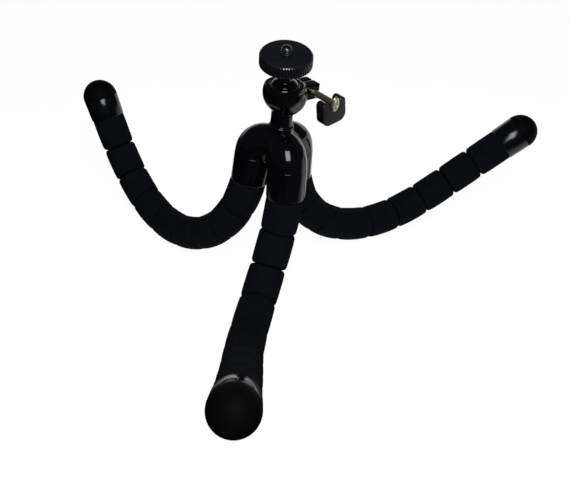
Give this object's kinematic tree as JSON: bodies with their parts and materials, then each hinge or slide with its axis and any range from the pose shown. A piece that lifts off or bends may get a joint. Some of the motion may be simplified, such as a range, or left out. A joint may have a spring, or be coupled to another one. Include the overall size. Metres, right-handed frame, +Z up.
{
  "type": "flexible leg tripod",
  "caption": "Mini tripod with bendable foam-covered legs, a lobed hub and a clamped ball head whose knurled disc carries a camera screw.",
  "frame": {"origin": "middle of the part's box, on the table that it stands on", "axes": "+Z up, +X to the right and -Y towards the viewer of the picture"},
  "size_m": [0.3224, 0.3112, 0.1605],
  "materials": {
    "foam": "matte",
    "hub_plastic": "gloss",
    "head_plastic": "gloss",
    "tip_plastic": "gloss",
    "foot_rubber": "satin",
    "knob_plastic": "satin",
    "disc_plastic": "satin",
    "pad_rubber": "matte",
    "black_metal": "satin",
    "steel": "satin",
    "bearing_nylon": "satin",
    "wire": "satin"
  },
  "bodies": {
    "hub": {"hub_shell": "hub_plastic", "neck_post": "hub_plastic", "neck_bolt": "steel", "hub_plug": "hub_plastic", "ball_cup": "head_plastic", "clamp_nut": "steel", "front_collar": "hub_plastic", "left_collar": "hub_plastic", "right_collar": "hub_plastic", "front_wire": "wire", "left_wire": "wire", "right_wire": "wire"},
    "clamp": {"clamp_screw": "steel", "clamp_knob": "knob_plastic"},
    "pan_ring": {"ball_seat": "bearing_nylon"},
    "ball": {"ball_stem": "head_plastic", "camera_stud": "black_metal"},
    "platform": {"platform_disc": "disc_plastic", "platform_pad": "pad_rubber"},
    "front_seg_1": {"front_foam_1": "foam"},
    "front_seg_2": {"front_foam_2": "foam"},
    "front_seg_3": {"front_foam_3": "foam"},
    "front_seg_4": {"front_foam_4": "foam"},
    "front_seg_5": {"front_foam_5": "foam"},
    "front_seg_6": {"front_foam_6": "foam"},
    "front_seg_7": {"front_foam_7": "foam"},
    "front_seg_8": {"front_foam_8": "foam"},
    "front_seg_9": {"front_foam_9": "foam", "front_ring": "tip_plastic", "front_foot": "foot_rubber"},
    "left_seg_1": {"left_foam_1": "foam"},
    "left_seg_2": {"left_foam_2": "foam"},
    "left_seg_3": {"left_foam_3": "foam"},
    "left_seg_4": {"left_foam_4": "foam"},
    "left_seg_5": {"left_foam_5": "foam"},
    "left_seg_6": {"left_foam_6": "foam"},
    "left_seg_7": {"left_foam_7": "foam"},
    "left_seg_8": {"left_foam_8": "foam"},
    "left_seg_9": {"left_foam_9": "foam", "left_ring": "tip_plastic", "left_foot": "foot_rubber"},
    "right_seg_1": {"right_foam_1": "foam"},
    "right_seg_2": {"right_foam_2": "foam"},
    "right_seg_3": {"right_foam_3": "foam"},
    "right_seg_4": {"right_foam_4": "foam"},
    "right_seg_5": {"right_foam_5": "foam"},
    "right_seg_6": {"right_foam_6": "foam"},
    "right_seg_7": {"right_foam_7": "foam"},
    "right_seg_8": {"right_foam_8": "foam"},
    "right_seg_9": {"right_foam_9": "foam", "right_ring": "tip_plastic", "right_foot": "foot_rubber"}
  },
  "joints": [
    {"name": "clamp_turn", "type": "hinge", "parent": "hub", "child": "clamp", "pos_m": [-0.0062, 0.04761, 0.12977], "axis": [0.5922, -0.8038, -0.0561], "range_deg": [0, 360]},
    {"name": "head_pan", "type": "hinge", "parent": "hub", "child": "pan_ring", "pos_m": [-0.01861, 0.03839, 0.13093], "axis": [0.0936, -0.0005, 0.9956], "continuous": true},
    {"name": "head_tilt", "type": "hinge", "parent": "pan_ring", "child": "ball", "pos_m": [-0.01861, 0.03839, 0.13093], "axis": [0.9822, -0.1633, -0.0924], "range_deg": [-40.7, 15.3]},
    {"name": "disc_turn", "type": "hinge", "parent": "ball", "child": "platform", "pos_m": [-0.0172, 0.03289, 0.15559], "axis": [0.0555, -0.2174, 0.9745], "continuous": true},
    {"name": "front_bend_1", "type": "hinge", "parent": "hub", "child": "front_seg_1", "pos_m": [-0.01876, 0.02275, 0.07068], "axis": [-0.4903, 0.8706, -0.0397], "range_deg": [-9.12, 8.88], "deforming": ["front_wire"]},
    {"name": "front_bend_2", "type": "hinge", "parent": "front_seg_1", "child": "front_seg_2", "pos_m": [-0.02339, 0.01913, 0.04844], "axis": [-0.9176, 0.3756, 0.1301], "range_deg": [-17.02, 10.98]},
    {"name": "front_bend_3", "type": "hinge", "parent": "front_seg_2", "child": "front_seg_3", "pos_m": [-0.03013, 0.00951, 0.02866], "axis": [-0.9529, 0.2012, 0.2269], "range_deg": [-24.88, 3.12]},
    {"name": "front_bend_4", "type": "hinge", "parent": "front_seg_3", "child": "front_seg_4", "pos_m": [-0.037, -0.00778, 0.01515], "axis": [-0.9504, 0.1786, 0.2545], "range_deg": [-25.22, 2.78]},
    {"name": "front_bend_5", "type": "hinge", "parent": "front_seg_4", "child": "front_seg_5", "pos_m": [-0.04237, -0.02965, 0.01045], "axis": [-0.935, 0.1617, 0.3156], "range_deg": [-24.01, 3.99]},
    {"name": "front_bend_6", "type": "hinge", "parent": "front_seg_5", "child": "front_seg_6", "pos_m": [-0.04477, -0.0521, 0.01483], "axis": [-0.927, 0.165, 0.3368], "range_deg": [-17.1, 10.9]},
    {"name": "front_bend_7", "type": "hinge", "parent": "front_seg_6", "child": "front_seg_7", "pos_m": [-0.04464, -0.0726, 0.02525], "axis": [-0.9969, 0.03, 0.0721], "range_deg": [-4.24, 23.76]},
    {"name": "front_bend_8", "type": "hinge", "parent": "front_seg_7", "child": "front_seg_8", "pos_m": [-0.04437, -0.09228, 0.03715], "axis": [-0.8325, -0.2951, -0.469], "range_deg": [-1.03, 26.97]},
    {"name": "front_bend_9", "type": "hinge", "parent": "front_seg_8", "child": "front_seg_9", "pos_m": [-0.04433, -0.11178, 0.04935], "axis": [-0.8068, 0.3121, 0.5016], "range_deg": [-4, 28]},
    {"name": "left_bend_1", "type": "hinge", "parent": "hub", "child": "left_seg_1", "pos_m": [-0.04046, 0.0415, 0.07272], "axis": [0.5281, 0.8453, -0.0815], "range_deg": [-11.84, 6.16], "deforming": ["left_wire"]},
    {"name": "left_bend_2", "type": "hinge", "parent": "left_seg_1", "child": "left_seg_2", "pos_m": [-0.0484, 0.0444, 0.05133], "axis": [0.6234, 0.7716, -0.1268], "range_deg": [-15.15, 12.85]},
    {"name": "left_bend_3", "type": "hinge", "parent": "left_seg_2", "child": "left_seg_3", "pos_m": [-0.06027, 0.05094, 0.03275], "axis": [0.6919, 0.6944, -0.1978], "range_deg": [-17.65, 10.35]},
    {"name": "left_bend_4", "type": "hinge", "parent": "left_seg_3", "child": "left_seg_4", "pos_m": [-0.07511, 0.06179, 0.01893], "axis": [0.7168, 0.646, -0.2624], "range_deg": [-19.01, 8.99]},
    {"name": "left_bend_5", "type": "hinge", "parent": "left_seg_4", "child": "left_seg_5", "pos_m": [-0.09112, 0.07654, 0.01151], "axis": [0.7173, 0.6396, -0.2763], "range_deg": [-18.97, 9.03]},
    {"name": "left_bend_6", "type": "hinge", "parent": "left_seg_5", "child": "left_seg_6", "pos_m": [-0.10648, 0.09366, 0.01126], "axis": [0.7288, 0.6508, -0.213], "range_deg": [-17.86, 10.14]},
    {"name": "left_bend_7", "type": "hinge", "parent": "left_seg_6", "child": "left_seg_7", "pos_m": [-0.12003, 0.11101, 0.01792], "axis": [0.7766, 0.6276, -0.0549], "range_deg": [-18.08, 9.92]},
    {"name": "left_bend_8", "type": "hinge", "parent": "left_seg_7", "child": "left_seg_8", "pos_m": [-0.13132, 0.12613, 0.03107], "axis": [0.8275, 0.5572, 0.0697], "range_deg": [-18.79, 9.21]},
    {"name": "left_bend_9", "type": "hinge", "parent": "left_seg_8", "child": "left_seg_9", "pos_m": [-0.13999, 0.13669, 0.04957], "axis": [0.865, 0.4851, 0.1284], "range_deg": [-19.55, 8.45]},
    {"name": "right_bend_1", "type": "hinge", "parent": "hub", "child": "right_seg_1", "pos_m": [-0.01344, 0.05101, 0.07019], "axis": [0.5002, -0.8625, -0.076], "range_deg": [-17.26, 0.74], "deforming": ["right_wire"]},
    {"name": "right_bend_2", "type": "hinge", "parent": "right_seg_1", "child": "right_seg_2", "pos_m": [-0.00834, 0.05589, 0.0483], "axis": [0.4649, -0.881, -0.0883], "range_deg": [-19.11, 8.89]},
    {"name": "right_bend_3", "type": "hinge", "parent": "right_seg_2", "child": "right_seg_3", "pos_m": [0.00293, 0.06369, 0.02983], "axis": [0.4256, -0.8971, -0.1191], "range_deg": [-19.54, 8.46]},
    {"name": "right_bend_4", "type": "hinge", "parent": "right_seg_3", "child": "right_seg_4", "pos_m": [0.0194, 0.07322, 0.01692], "axis": [0.4054, -0.902, -0.1485], "range_deg": [-19.64, 8.36]},
    {"name": "right_bend_5", "type": "hinge", "parent": "right_seg_4", "child": "right_seg_5", "pos_m": [0.03931, 0.08313, 0.01105], "axis": [0.3985, -0.9012, -0.1706], "range_deg": [-19.04, 8.96]},
    {"name": "right_bend_6", "type": "hinge", "parent": "right_seg_5", "child": "right_seg_6", "pos_m": [0.0604, 0.09216, 0.01264], "axis": [0.3978, -0.8911, -0.2185], "range_deg": [-16.19, 11.81]},
    {"name": "right_bend_7", "type": "hinge", "parent": "right_seg_6", "child": "right_seg_7", "pos_m": [0.08081, 0.09937, 0.02041], "axis": [0.4264, -0.8363, -0.3445], "range_deg": [-10.88, 17.12]},
    {"name": "right_bend_8", "type": "hinge", "parent": "right_seg_7", "child": "right_seg_8", "pos_m": [0.1001, 0.10449, 0.03184], "axis": [0.5145, -0.6239, -0.5883], "range_deg": [-5.92, 22.08]},
    {"name": "right_bend_9", "type": "hinge", "parent": "right_seg_8", "child": "right_seg_9", "pos_m": [0.11886, 0.10781, 0.04473], "axis": [0.5559, -0.4637, -0.6899], "range_deg": [-3.88, 24.12]}
  ]
}
